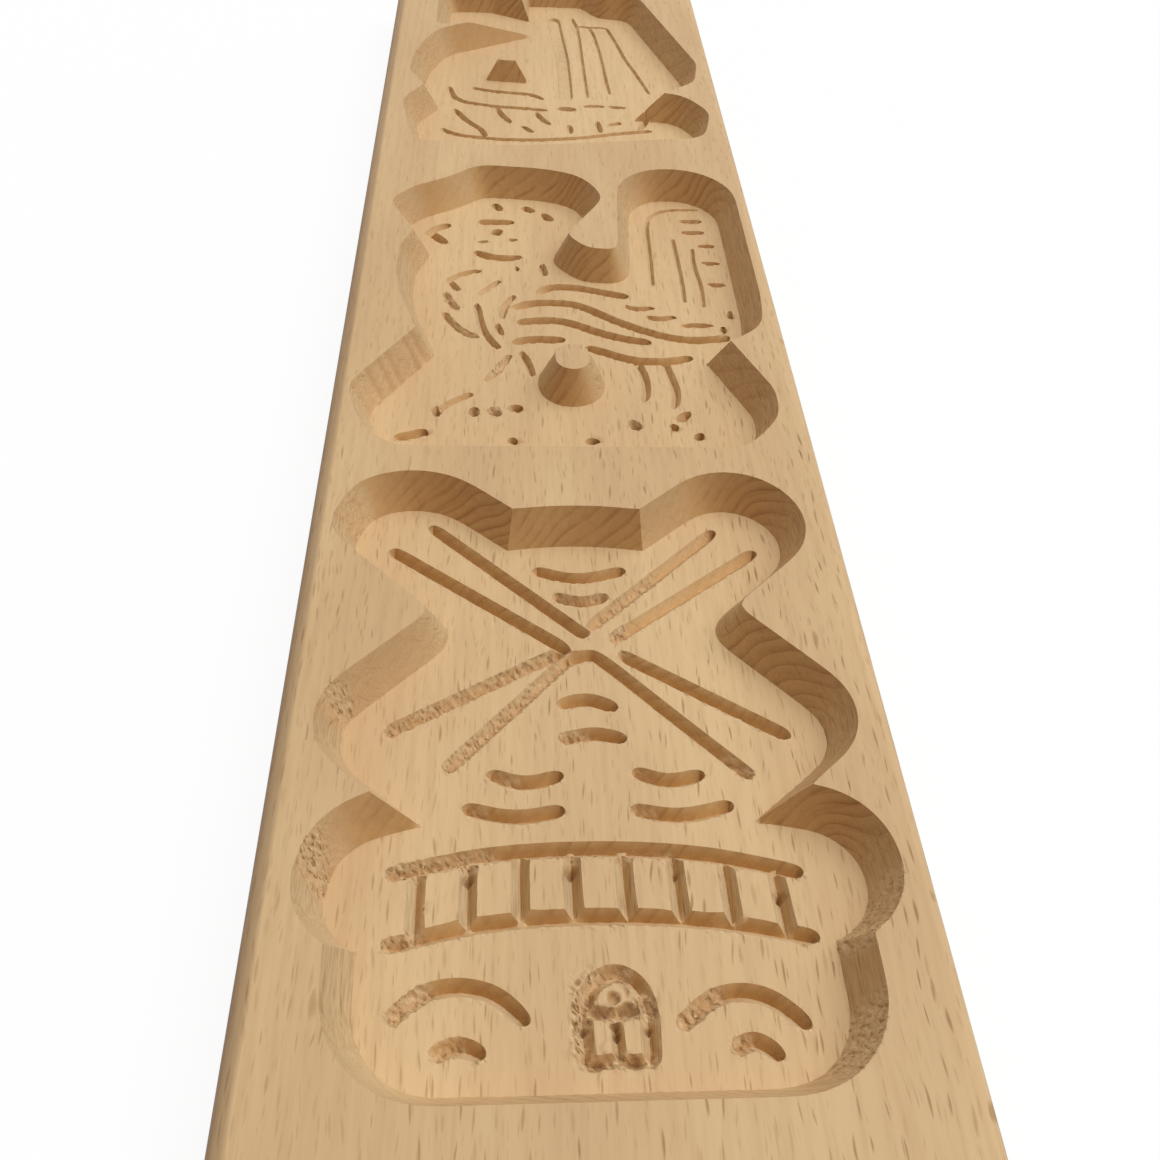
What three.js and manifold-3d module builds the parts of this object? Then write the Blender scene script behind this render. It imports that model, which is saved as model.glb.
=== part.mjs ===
// Cookie mould: one beech plank with a windmill, a rooster and a sailing ship hollowed into its face.
// Millimetres. X runs across the plank, Y along it towards the tops of the figures, Z up.
// The origin is the middle of the underside.
import * as THREE from 'three';
import { mergeVertices } from 'three/addons/utils/BufferGeometryUtils.js';
import Module from 'manifold-3d';

// Plank
const PLANK_WIDTH = 100;
const PLANK_THICKNESS = 20;
const EDGE_RADIUS = 3; // rounding along the four long edges
const END_MARGIN = 12.65; // face left beyond the first and the last figure

// Figures, measured on the upper face. Each one spans the plank but for the face left at its two sides.
const WINDMILL_SIDE_MARGIN = 4.42;
const WINDMILL_HEIGHT = 119.5;
const ROOSTER_SIDE_MARGIN = 3.7;
const ROOSTER_HEIGHT = 115.4;
const SHIP_SIDE_MARGIN = 5.7;
const SHIP_HEIGHT = 120.7;
const ROOSTER_GAP = 7.4; // face left between windmill and rooster
const SHIP_GAP = 11.7; // face left between rooster and ship

// Hollows: a tapered cutter leaves sloping walls round a flat floor
const HOLLOW_DEPTH = 7.5;
const WALL_SLOPE = 25.6; // degrees from upright
const FLOOR_CORNER_RADIUS = 0.4; // smallest rounding that the cutter leaves on a floor
const SHIP_ISLE_HEIGHT = 5.6; // the ridge of uncut wood inside the ship stops short of the face

// Drawn lines: a blunter V-shaped cutter runs along the floors. It goes as deep as the width asks for,
// but for the ship's mast, which is broad and flat.
const LINE_SLOPE = 38; // degrees from upright
const LINE_WIDTH = 2.9;
const SLIM_LINE_WIDTH = 2.1;
const FINE_LINE_WIDTH = 1.3;
const MAST_WIDTH = 4.4;
const MAST_DEPTH = 0.8;

// Balcony rail of the windmill
const BALUSTER_COUNT = 8;
const BALUSTER_PITCH = 7.9;
const BALUSTER_GAP = 0.5; // between a baluster's end and the middle of a rail

// Smoothness of round stretches
const SAGITTA = 0.08; // most that a chord may stray from its arc
const EDGE_STEPS = 4; // facets round each long edge
const TIP_SIDES = 12; // facets round the cutter's tip
const STEPS_PER_SPAN = 2.5; // chords between two points of a drawn line

const OVERRUN = 1; // how far a cutter or an isle reaches past the wood it meets
const SIDE_SHARE = 0.999; // most of a side that its two roundings may take

const wallRun = (height, slope = WALL_SLOPE) => height * Math.tan(THREE.MathUtils.degToRad(slope));

// Outlines are lists of corners [x, y, rounding], anticlockwise, and drawn lines are lists of [x, y].
// Both are drawn in the figure's own place: x from the plank's centre line, y from the figure's foot.

// Windmill: sails, balcony and base in one outline. Its left half is cut a little tighter than its right.
const windmillRightHalf = [
  [38.9, 0, 15], [38.9, 22.2, 0],
  [46.8, 26.9, 13], [43.7, 44.9, 13], [34.2, 46.8, 0],
  [49.7, 59.8, 12], [27.5, 84.2, 1.4],
  [49.4, 105.2, 13.9], [30.4, 124.8, 13.9], [12, 108.7, 0],
];
const windmillLeftHalf = [
  [-12, 108.7, 0], [-28.3, 122.9, 18], [-42, 116.4, 8], [-47.2, 104.2, 8],
  [-26.3, 83.2, 1.4], [-49.7, 59.8, 12],
  [-33.8, 46.2, 0], [-41.6, 43.8, 13], [-45.5, 26.3, 12],
  [-38.3, 22, 0], [-37.6, 0, 15.5],
];
const windmillOutline = [...windmillRightHalf, [0, 110.6, 70], ...windmillLeftHalf];

const sailLines = [
  [[-34.7, 104.6], [-2.9, 80.5]], [[-27.6, 111], [0.7, 83.7]],
  [[27.1, 109.8], [2.4, 86]], [[34.4, 104.2], [6.2, 82.8]],
  [[-32.5, 62.8], [-3.8, 79.5]], [[-22.5, 55.5], [-2.5, 77.8]],
  [[-1.6, 78.2], [1.6, 79.2], [4.4, 76.9], [15, 65.5], [26.2, 53.7]], [[7.5, 78.7], [33.9, 61.3]],
];
const capLines = [
  [[-7.5, 99.5], [0, 97.4], [8.5, 99.5]], [[-3.8, 92.8], [0.5, 91.5], [4.6, 92.7]],
  [[-3.8, 68.2], [0.7, 69.2], [5.1, 67.4]], [[-3.4, 61], [1.6, 62], [6.2, 60.9]],
];
const bodyLines = [
  [[-15.6, 54], [-10.4, 52.2], [-4.7, 53.6]], [[-19.5, 47.7], [-12, 45.9], [-4.7, 47.1]],
  [[8, 54.2], [13, 52.4], [18.5, 53.6]], [[7.5, 47.1], [14.6, 45.9], [22.5, 47.7]],
];
const upperRail = [[-30.2, 36.4], [-16, 39.4], [1.3, 40.2], [17.5, 39], [31.6, 35.7]];
const lowerRail = [[-30.2, 24.9], [-16, 28.1], [1.3, 29], [17.5, 27.9], [32.1, 25.1]];
const doorArch = [[-2.3, 8], [-2.4, 15.2], [-0.6, 18.9], [2.2, 20.3], [5.1, 18.9], [6.7, 15.2], [6.7, 8]];
const doorPanels = [
  [[-2, 14.6], [2, 14.2], [5.4, 14.8]], [[-2, 7.7], [6.4, 7.7]], [[2.1, 12.6], [2.3, 8.2]],
];
const windowLines = [
  [[-28.8, 14.5], [-24.9, 17.7], [-20.2, 18.7], [-14.7, 17.4], [-10.6, 13.6]],
  [[-22.5, 9.4], [-19.6, 10.4], [-16.6, 9.2]],
  [[11.6, 12.8], [15.6, 16], [19.9, 17.1], [24.5, 16], [28.7, 12.2]],
  [[18.9, 9.3], [21.5, 10.2], [24.2, 8]],
];

// The balusters hang evenly between the two rails, which bow upwards in the middle.
function balusters() {
  const railTop = new THREE.SplineCurve(upperRail.map(([x, y]) => new THREE.Vector2(x, y)));
  const railFoot = new THREE.SplineCurve(lowerRail.map(([x, y]) => new THREE.Vector2(x, y)));
  const middle = (BALUSTER_COUNT - 1) / 2;
  const reach = railTop.getLength();
  return Array.from({ length: BALUSTER_COUNT }, (_, i) => {
    const share = 0.5 + (i - middle) * BALUSTER_PITCH / reach;
    const head = railTop.getPointAt(share);
    const foot = railFoot.getPointAt(share);
    return [[head.x, head.y - BALUSTER_GAP], [foot.x, foot.y + BALUSTER_GAP]];
  });
}

// Rooster: it looks to the left, with its tail raised at the right and its feet on a mound
const roosterOutline = [
  [36, 0, 9], [44.3, 10.2, 10], [44.6, 19.2, 8], [37.3, 36.8, 0],
  [45.6, 42.4, 10], [46.8, 55.2, 40], [46.8, 115, 16], [16.3, 115, 14],
  [14, 74, 2], [6.5, 74.7, 3], [1.4, 80.7, 2.5],
  [12, 99.2, 7], [7, 110.2, 12], [-3, 113.8, 30], [-21.5, 115.4, 9],
  [-28, 108.8, 25], [-37.5, 103.4, 10], [-43.7, 96.1, 5],
  [-36.4, 81.9, 1], [-39.6, 74.7, 8], [-39.8, 62.2, 30], [-38, 53.2, 15], [-33.7, 40.8, 0],
  [-47.3, 19.5, 8], [-43.3, 6.7, 12], [-36.5, 0, 8],
];
const legIsle = [[5.1, 25.5, 3.6], [5.1, 34.9, 3.6], [-2.7, 34.9, 3.6], [-2.7, 25.5, 3.6]];

const headLines = [
  [[-28.8, 96.8], [-32, 95], [-33.6, 93.2]], [[-33.2, 92.6], [-31.5, 90.9], [-29.5, 88.6]],
  [[-16.5, 107.6], [-15.3, 105.2]], [[-8.8, 106.3], [-6.6, 104.7]], [[-3.5, 103], [-1.9, 100.4]],
  [[-20.4, 98.8], [-12.3, 98.8]], [[-16.6, 94.3], [-15.2, 94.3]],
  [[-21.1, 83.9], [-18.4, 82.3], [-14.7, 81.4], [-10.8, 81.7]],
];
const eyeLines = [
  [[-20, 89.1], [-19, 89.1]], [[-12.3, 90], [-11.5, 90]],
  [[-10.8, 76.9], [-10.8, 75.8]], [[-4.5, 78.4], [-3.8, 73.8]],
];
const breastLines = [
  [[-20.6, 75.5], [-24.7, 73.8], [-27.7, 71.4]], [[-27.7, 71], [-25.6, 67.3]],
  [[-15.6, 70.5], [-17.9, 67.8], [-19.7, 65.5]], [[-28.2, 65], [-27, 61.4], [-25.4, 59.1]],
  [[-28.2, 56.4], [-26.1, 52.7], [-23.8, 49.6], [-20.6, 47.6]],
  [[-20.6, 60.5], [-19.7, 54.1], [-18.4, 48.7], [-15.6, 43.7]],
  [[-15.5, 52.1], [-14.9, 49.1]], [[-12, 64.1], [-13.8, 60.5], [-14.3, 55.9]],
];
const wingLines = [
  [[-5.4, 66.4], [-3.4, 68.3], [2.5, 68.7], [8, 67.3], [15.7, 65]],
  [[-11.1, 59.6], [-7.5, 61.6], [-1.1, 61.8], [4.4, 60.7], [13.5, 54.1], [23.5, 48.7], [31, 47.2],
    [38.9, 48.2]],
  [[-10.2, 53.7], [-2.9, 54.6], [2.5, 53.2], [7.1, 50.5], [13.5, 47.7], [19.8, 46.1]],
  [[-11.5, 45.5], [-8, 46.8], [-0.4, 46.7]],
  [[5.7, 43.7], [9.8, 41.8], [14.4, 39.6], [19.8, 38.7], [25.3, 39.1], [29.2, 40.2]],
];
const legLines = [
  [[16.6, 39], [17.9, 34.1], [18.2, 28.7], [17.5, 24.6]],
  [[23, 39], [23.9, 34.1], [24.8, 27.7], [23.9, 22.3]],
  [[-9.7, 41.2], [-8.4, 37.3], [-7.6, 33.7]],
  [[-12.9, 40], [-14.8, 36.1], [-18, 31]], [[-27.6, 21.3], [-24.6, 24], [-21.6, 25.8]],
];
const footLines = [
  [[14.2, 16.5], [14.7, 15.6]], [[22.7, 15.6], [23.3, 15.4]], [[24.8, 18.6], [26.3, 19.7]],
  [[-11.8, 21.4], [-10.6, 21.5]], [[-16.2, 20.6], [-15.6, 19.5]], [[-20.6, 20.7], [-20.6, 19.6]],
  [[-28.7, 20.7], [-28.3, 19.6]],
  [[-36.5, 11.4], [-33.6, 12], [-30.8, 13.2]], [[-12.3, 10.5], [-11.7, 10.5]],
  [[4.2, 10.3], [5.7, 10.8]], [[27.9, 11.8], [28.5, 12.7]],
];
const tailLines = [
  [[33.7, 100.9], [38.7, 100.9]], [[33.7, 95.3], [38.7, 95.4]], [[37.2, 88.8], [40, 88.8]],
  [[37.2, 80.5], [40.3, 80.5]], [[37.8, 70.8], [40.5, 70.6]],
  [[15.7, 60.5], [18.9, 59.6], [21.8, 60.4]], [[20.9, 56.3], [23.6, 55.5], [26.9, 56.7]],
  [[29.4, 53.2], [35.5, 53.2]], [[40.9, 58.6], [40.9, 57.2]], [[38.6, 52.6], [38.4, 51]],
];
const plumeLines = [
  [[23, 70.5], [23.4, 85], [23.9, 99.6], [26, 104.3], [30.3, 106.6], [38, 106.9]],
  [[30.1, 91.4], [30.4, 80], [30.5, 70], [30.3, 63.4]],
  [[34.8, 86.8], [34.4, 79.6], [35.1, 70.5], [34.8, 61.4]],
];

// Ship: the sail on the right of the mast is full, the flag and the small sail are on its left
const shipOutline = [
  [-14, -0.8, 90], [43.2, 7, 6], [46.6, 23, 9], [39.5, 34.2, 10], [34, 34.8, 0],
  [44.2, 43.2, 5], [46.3, 56, 10], [31.2, 110.3, 8], [20, 111.8, 3], [14.5, 120.7, 3],
  [-9.5, 120.7, 3], [-9.5, 109.8, 0], [-18, 114.3, 8], [-36.8, 114.3, 6], [-36.8, 80.8, 1.5],
  [-26.3, 83.2, 0], [-36.5, 77.2, 14], [-42, 62, 30], [-43.6, 47, 10], [-38.5, 37, 0],
  [-44.6, 26.5, 9], [-40, 2.2, 5],
];
const sailIsle = [[-16.6, 59.6, 0], [-10.9, 59.1, 0], [-11.3, 60.2, 0], [-16.2, 60.6, 0]];

const mastLine = [[2.5, 106], [3.4, 91], [4.4, 77.5], [4.8, 59.3], [4.8, 46]];
const mastStep = [[2.6, 39], [7, 38.8]];
const riggingLines = [
  [[9.1, 107.3], [10.3, 101.1], [10.8, 90.2], [11.1, 70], [11.6, 47.5]],
  [[14.4, 100.6], [15.8, 95.6], [17.4, 75.6], [17.9, 62.9], [18.7, 50.2]],
  [[20.7, 100.2], [23, 89.3], [25.4, 75.6], [28.2, 64.7], [31.2, 51.1]],
  [[11.6, 101.1], [15.3, 100.6], [20.2, 100.4]],
];
const hullLines = [
  [[-23.8, 51.5], [-18.4, 49.8], [-10.2, 48.8], [-5.6, 47.9], [-2.9, 45.6]],
  [[-31.5, 51.5], [-30.3, 45.6], [-27.4, 42.3], [-22, 40.6], [-15.6, 39.3], [-6.5, 38.4], [-2, 37.5]],
  [[-29.3, 36.5], [-26.5, 31.1], [-24.4, 27.9], [-21.1, 24.2], [-20.2, 20.6]],
  [[-32.5, 23.8], [-29.6, 21.1], [-24.7, 19.7], [-15.6, 18.4], [-6.5, 18.4], [2.5, 19.3], [11.6, 21.1],
    [18.9, 23.4], [29.8, 25.6]],
];
const waveLines = [
  [[-16.5, 37.5], [-14.7, 32.9], [-12.5, 29.3]], [[-8.4, 26.5], [-6.5, 23.8]],
  [[-4.7, 35.6], [-2.6, 31.1], [-0.7, 28.5]], [[5.3, 27.5], [5.5, 23.9]],
  [[13.8, 30.2], [14.4, 24.8]], [[17.8, 29.2], [20.3, 30.2]], [[26.6, 27.2], [28.7, 31]],
  [[11, 41.1], [16, 41.2]], [[18.6, 40.9], [22.6, 40.4]],
];

// Every figure's place on the plank follows from the margins, the gaps and the figures' sizes.
const plankLength =
  2 * END_MARGIN + WINDMILL_HEIGHT + ROOSTER_GAP + ROOSTER_HEIGHT + SHIP_GAP + SHIP_HEIGHT;
const floorLevel = PLANK_THICKNESS - HOLLOW_DEPTH;
const windmillFoot = END_MARGIN - plankLength / 2;
const roosterFoot = windmillFoot + WINDMILL_HEIGHT + ROOSTER_GAP;
const shipFoot = roosterFoot + ROOSTER_HEIGHT + SHIP_GAP;

const figures = [
  {
    sideMargin: WINDMILL_SIDE_MARGIN, height: WINDMILL_HEIGHT, foot: windmillFoot,
    outline: windmillOutline, isles: [],
    lines: [
      { width: LINE_WIDTH, paths: [...sailLines, ...capLines, ...bodyLines, ...windowLines] },
      { width: LINE_WIDTH, paths: [upperRail, lowerRail, ...balusters(), doorArch] },
      { width: SLIM_LINE_WIDTH, paths: doorPanels },
    ],
  },
  {
    sideMargin: ROOSTER_SIDE_MARGIN, height: ROOSTER_HEIGHT, foot: roosterFoot,
    outline: roosterOutline, isles: [{ corners: legIsle, height: HOLLOW_DEPTH }],
    lines: [
      { width: LINE_WIDTH, paths: [...headLines, ...wingLines, ...footLines] },
      { width: SLIM_LINE_WIDTH, paths: [...eyeLines, ...breastLines, ...legLines, ...tailLines] },
      { width: FINE_LINE_WIDTH, paths: plumeLines },
    ],
  },
  {
    sideMargin: SHIP_SIDE_MARGIN, height: SHIP_HEIGHT, foot: shipFoot,
    outline: shipOutline, isles: [{ corners: sailIsle, height: SHIP_ISLE_HEIGHT }],
    lines: [
      { width: MAST_WIDTH, depth: MAST_DEPTH, paths: [mastLine] },
      { width: LINE_WIDTH, paths: [mastStep] },
      { width: SLIM_LINE_WIDTH, paths: [...hullLines, ...waveLines] },
      { width: FINE_LINE_WIDTH, paths: riggingLines },
    ],
  },
];

// Corners of an outline moved inwards by inset. A rounding grows on an inner bend and shrinks on an
// outer one, as the cutter leaves it; a corner without rounding stays sharp.
function insetCorners(corners, inset) {
  return corners.map(([x, y, rounding], i) => {
    const here = new THREE.Vector2(x, y);
    const before = here.clone().sub(new THREE.Vector2(...corners.at(i - 1))).normalize();
    const after = new THREE.Vector2(...corners[(i + 1) % corners.length]).sub(here).normalize();
    const inwards = new THREE.Vector2(-before.y - after.y, before.x + after.x);
    const turn = Math.atan2(before.cross(after), before.dot(after));
    const centre = here.addScaledVector(inwards, inset / (1 + before.dot(after)));
    const left = turn > 0 ? rounding - inset : rounding + inset;
    return { centre, turn, before, after, radius: rounding > 0 ? Math.max(FLOOR_CORNER_RADIUS, left) : 0 };
  });
}

// Chords for one rounded corner. The count follows the drawn rounding, so that it is equal at all levels.
function arcSteps(turn, rounding) {
  const radius = Math.max(rounding, wallRun(HOLLOW_DEPTH));
  return Math.ceil(Math.abs(turn) / (2 * Math.acos(1 - SAGITTA / radius)));
}

// The outline's points, with each rounded corner as an arc. A rounding is limited by its two sides.
function outlinePoints(corners, inset = 0) {
  const bends = insetCorners(corners, inset);
  const wanted = bends.map(({ radius, turn }) => radius * Math.tan(Math.abs(turn) / 2));
  return bends.flatMap(({ centre, turn, before, after, radius }, i) => {
    if (radius === 0) return [centre];
    const last = bends.length - 1;
    const [previous, next] = [i === 0 ? last : i - 1, i === last ? 0 : i + 1];
    const roomBefore = centre.distanceTo(bends[previous].centre) / (wanted[previous] + wanted[i]);
    const roomAfter = centre.distanceTo(bends[next].centre) / (wanted[next] + wanted[i]);
    const fit = Math.min(1, SIDE_SHARE * roomBefore, SIDE_SHARE * roomAfter);
    const start = centre.clone().addScaledVector(before, -wanted[i] * fit);
    const side = Math.sign(turn) * radius * fit;
    const hub = start.clone().add(new THREE.Vector2(-before.y, before.x).multiplyScalar(side));
    const steps = arcSteps(turn, corners[i][2]);
    return Array.from({ length: steps + 1 }, (_, k) => start.clone().rotateAround(hub, turn * k / steps));
  });
}

// Closed body through outlines of equal counts, from the lowest to the highest.
function loftGeometry(levels) {
  const count = levels[0].points.length;
  const positions = levels.flatMap(({ z, points }) => points.flatMap(({ x, y }) => [x, y, z]));
  const faces = [];
  for (let level = 0; level < levels.length - 1; level++) {
    for (let i = 0; i < count; i++) {
      const a = level * count + i;
      const b = level * count + (i + 1) % count;
      faces.push(a, b, b + count, a, b + count, a + count);
    }
  }
  const top = (levels.length - 1) * count;
  for (const [a, b, c] of THREE.ShapeUtils.triangulateShape(levels.at(-1).points, [])) {
    faces.push(top + a, top + b, top + c);
  }
  for (const [a, b, c] of THREE.ShapeUtils.triangulateShape(levels[0].points, [])) faces.push(c, b, a);
  const geometry = new THREE.BufferGeometry();
  geometry.setAttribute('position', new THREE.Float32BufferAttribute(positions, 3));
  geometry.setIndex(faces);
  return geometry;
}

const wasm = await Module();
wasm.setup();

function solidOf(geometry) {
  geometry.deleteAttribute('normal');
  geometry.deleteAttribute('uv');
  const merged = mergeVertices(geometry);
  return new wasm.Manifold(new wasm.Mesh({
    numProp: 3,
    vertProperties: merged.attributes.position.array,
    triVerts: new Uint32Array(merged.index.array),
  }));
}

function geometryOf(solid) {
  const { vertProperties, triVerts } = solid.getMesh();
  const geometry = new THREE.BufferGeometry();
  geometry.setAttribute('position', new THREE.BufferAttribute(new Float32Array(vertProperties), 3));
  geometry.setIndex(new THREE.BufferAttribute(new Uint32Array(triVerts), 1));
  geometry.computeVertexNormals();
  return geometry;
}

// What the line cutter takes out: between each two places of its tip, the hull of both. A line with a
// depth of its own has a flat bottom there.
function grooveSolid(points, width, depth) {
  const path = new THREE.SplineCurve(points);
  const steps = points.length === 2 ? 1 : Math.ceil(STEPS_PER_SPAN * (points.length - 1));
  const radius = width / 2 + wallRun(OVERRUN, LINE_SLOPE);
  const height = radius / wallRun(1, LINE_SLOPE);
  const cone = new THREE.ConeGeometry(radius, height, TIP_SIDES);
  cone.rotateX(-Math.PI / 2);
  cone.translate(0, 0, floorLevel + OVERRUN - height / 2);
  const tip = solidOf(cone);
  const places = path.getSpacedPoints(steps).map(({ x, y }) => tip.translate([x, y, 0]));
  const groove = wasm.Manifold.union(
    places.slice(1).map((place, i) => wasm.Manifold.hull([places[i], place])),
  );
  return depth ? groove.trimByPlane([0, 0, 1], floorLevel - depth) : groove;
}

function plankSolid() {
  const [right, top, r] = [PLANK_WIDTH / 2, PLANK_THICKNESS, EDGE_RADIUS];
  const section = new THREE.Shape();
  section.absarc(right - r, r, r, -Math.PI / 2, 0);
  section.absarc(right - r, top - r, r, 0, Math.PI / 2);
  section.absarc(r - right, top - r, r, Math.PI / 2, Math.PI);
  section.absarc(r - right, r, r, Math.PI, 3 * Math.PI / 2);
  const geometry = new THREE.ExtrudeGeometry(section, {
    depth: plankLength, bevelEnabled: false, curveSegments: EDGE_STEPS,
  });
  geometry.rotateX(Math.PI / 2);
  geometry.translate(0, plankLength / 2, 0);
  return solidOf(geometry);
}

// Carries a drawing onto the plank at the figure's margins, height and place.
function placement({ outline, sideMargin, height, foot }) {
  const drawn = new THREE.Box2().setFromPoints(outlinePoints(outline));
  const across = (PLANK_WIDTH - 2 * sideMargin) / (drawn.max.x - drawn.min.x);
  const along = height / (drawn.max.y - drawn.min.y);
  return {
    corners: list => list.map(([x, y, r]) => [x * across, foot + y * along, r * Math.min(across, along)]),
    points: list => list.map(([x, y]) => new THREE.Vector2(x * across, foot + y * along)),
  };
}

function hollowCutter(corners) {
  const rim = outlinePoints(corners);
  return solidOf(loftGeometry([
    { z: floorLevel, points: outlinePoints(corners, wallRun(HOLLOW_DEPTH)) },
    { z: PLANK_THICKNESS, points: rim },
    { z: PLANK_THICKNESS + OVERRUN, points: rim },
  ]));
}

// Uncut wood inside a hollow, with the same sloping walls. It is rooted below the floor.
function isleSolid(corners, height) {
  const crown = outlinePoints(corners);
  const root = outlinePoints(corners, -wallRun(height));
  const levels = [
    { z: floorLevel - OVERRUN, points: root },
    { z: floorLevel, points: root },
    { z: floorLevel + height, points: crown },
  ];
  if (height >= HOLLOW_DEPTH) levels.push({ z: PLANK_THICKNESS + 2 * OVERRUN, points: crown });
  return solidOf(loftGeometry(levels));
}

function mouldSolid() {
  let mould = plankSolid();
  for (const figure of figures) {
    const place = placement(figure);
    let hollow = hollowCutter(place.corners(figure.outline));
    for (const { corners, height } of figure.isles) {
      hollow = hollow.subtract(isleSolid(place.corners(corners), height));
    }
    mould = mould.subtract(hollow);
    for (const { width, depth, paths } of figure.lines) {
      for (const path of paths) mould = mould.subtract(grooveSolid(place.points(path), width, depth));
    }
  }
  return mould;
}

const beech = new THREE.MeshStandardMaterial({
  color: 0xc8a77f, roughness: 0.62, metalness: 0, flatShading: true,
});

const mouldBoard = new THREE.Mesh(geometryOf(mouldSolid()), beech);
mouldBoard.name = 'mould_board';

const group = new THREE.Group();
group.add(mouldBoard);

export default group;
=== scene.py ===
"""A cookie mould: one beech plank with a windmill, a rooster and a ship hollowed into its face."""

import math

import bmesh
import bpy
from mathutils import Matrix, Vector, noise
from mathutils.bvhtree import BVHTree
from mathutils.kdtree import KDTree


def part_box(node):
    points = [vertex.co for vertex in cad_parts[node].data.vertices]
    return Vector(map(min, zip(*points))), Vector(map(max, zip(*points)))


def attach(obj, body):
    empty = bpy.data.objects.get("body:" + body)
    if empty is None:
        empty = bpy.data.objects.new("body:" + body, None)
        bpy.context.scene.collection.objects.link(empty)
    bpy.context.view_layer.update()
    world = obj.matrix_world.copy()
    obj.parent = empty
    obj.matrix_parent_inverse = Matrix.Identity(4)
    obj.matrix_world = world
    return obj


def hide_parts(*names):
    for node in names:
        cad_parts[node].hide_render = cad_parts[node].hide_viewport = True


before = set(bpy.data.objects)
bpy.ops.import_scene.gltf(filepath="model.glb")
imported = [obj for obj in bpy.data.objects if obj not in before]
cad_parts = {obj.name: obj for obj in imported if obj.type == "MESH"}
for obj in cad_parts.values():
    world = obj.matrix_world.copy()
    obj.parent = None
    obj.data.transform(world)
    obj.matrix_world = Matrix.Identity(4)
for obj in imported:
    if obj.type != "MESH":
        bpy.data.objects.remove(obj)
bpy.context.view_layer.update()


# The blank. One board of beech, planed on both faces and sawn square at its ends. A rounding cutter
# has run along its four long edges.
MM = 0.001
EDGE_RADIUS = 3 * MM
EDGE_FACETS = 6
CELL = 2 * MM  # the face is divided into squares of about this size before it is carved
WHOLLY = 0.999  # how much of an edge lies along an axis, or of a face's direction is up
low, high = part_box("mould_board")
face_width = high.x - low.x - 2 * EDGE_RADIUS

bm = bmesh.new()
for wear in ("torn", "broken_depth"):
    bm.verts.layers.float.new(wear)
torn_layer, broken_layer = bm.verts.layers.float["torn"], bm.verts.layers.float["broken_depth"]
bmesh.ops.create_cube(bm, size=1)
bmesh.ops.scale(bm, vec=high - low, verts=bm.verts)
bmesh.ops.translate(bm, vec=(low + high) / 2, verts=bm.verts)


def along(edge, axis):
    """True for an edge that runs along one axis only."""
    span = edge.verts[0].co - edge.verts[1].co
    return abs(span[axis]) > WHOLLY * span.length


def upper_faces():
    """The flat faces on top of the blank, between its rounded edges."""
    lowest = high.z - EDGE_RADIUS / 100
    return [f for f in bm.faces if f.normal.z > WHOLLY and f.calc_center_median().z > lowest]


def divide(edges, cuts):
    """Some cuts across each of these edges and through the faces between them."""
    bmesh.ops.subdivide_edges(bm, edges=list(edges), cuts=cuts, use_grid_fill=True)
    bm.normal_update()


bmesh.ops.bevel(
    bm, geom=[e for e in bm.edges if along(e, 1)], offset=EDGE_RADIUS, segments=EDGE_FACETS,
    profile=0.5, affect="EDGES", material=-1,
)
bm.normal_update()
rails = [e for f in upper_faces() for e in f.edges if along(e, 1)]
divide(rails, round((high.y - low.y) / CELL) - 1)
rungs = {e for f in upper_faces() for e in f.edges if along(e, 0)}
divide(rungs, round(face_width / CELL) - 1)


# The carving. The figures are hollowed 7.5 mm deep with a tapered cutter, which leaves flat floors
# and sloping walls, and its tip then draws V-shaped lines on the floors. Some stretches ran against
# the grain and are torn.
FLOOR_DEPTH = 7.5 * MM
SHARP = math.radians(35)  # a bend of more than this is a crease
NOTHING = 0.01 * MM
HALVINGS = 2  # how often the squares that meet the carving are halved
LOOK_AROUND = 0.65  # how far from its middle a square is searched, in shares of its length
LAND, FLOOR, WALL, LINE = range(4)
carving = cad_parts["mould_board"].data
carved = BVHTree.FromPolygons(
    [v.co for v in carving.vertices], [p.vertices for p in carving.polygons],
)
inner = face_width / 2 - NOTHING


def on_face(place):
    """True for a place on the flat of the face, clear of the rounded edges and the ends."""
    return abs(place.x) < inner and abs(place.y) < high.y - NOTHING


def cut_at(x, y):
    """Kind, place and normal of the carved face under a point."""
    spot, normal, *_ = carved.ray_cast(Vector((x, y, high.z + MM)), Vector((0, 0, -1)))
    above_floor = spot.z - (high.z - FLOOR_DEPTH)
    if spot.z > high.z - NOTHING:
        kind = LAND
    elif above_floor < -NOTHING:
        kind = LINE
    else:
        kind = FLOOR if above_floor < NOTHING else WALL
    return kind, spot, normal


def is_cut(face):
    """False where a face and a little beyond it are all plain land or all plain floor."""
    xs, ys = zip(*((v.co.x, v.co.y) for v in face.verts))
    middle = Vector((sum(xs) / len(xs), sum(ys) / len(ys)))
    reach = LOOK_AROUND * (max(ys) - min(ys))
    steps = (-reach, -reach / 3, reach / 3, reach)
    kinds = set()
    for y in (middle.y + step for step in steps):
        if low.y < y < high.y:
            kinds |= {cut_at(max(-inner, min(inner, middle.x + step)), y)[0] for step in steps}
    return len(kinds) > 1 or not kinds <= {LAND, FLOOR}


for halving in range(HALVINGS):
    divide({e for f in upper_faces() if is_cut(f) for e in f.edges}, 1)

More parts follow.
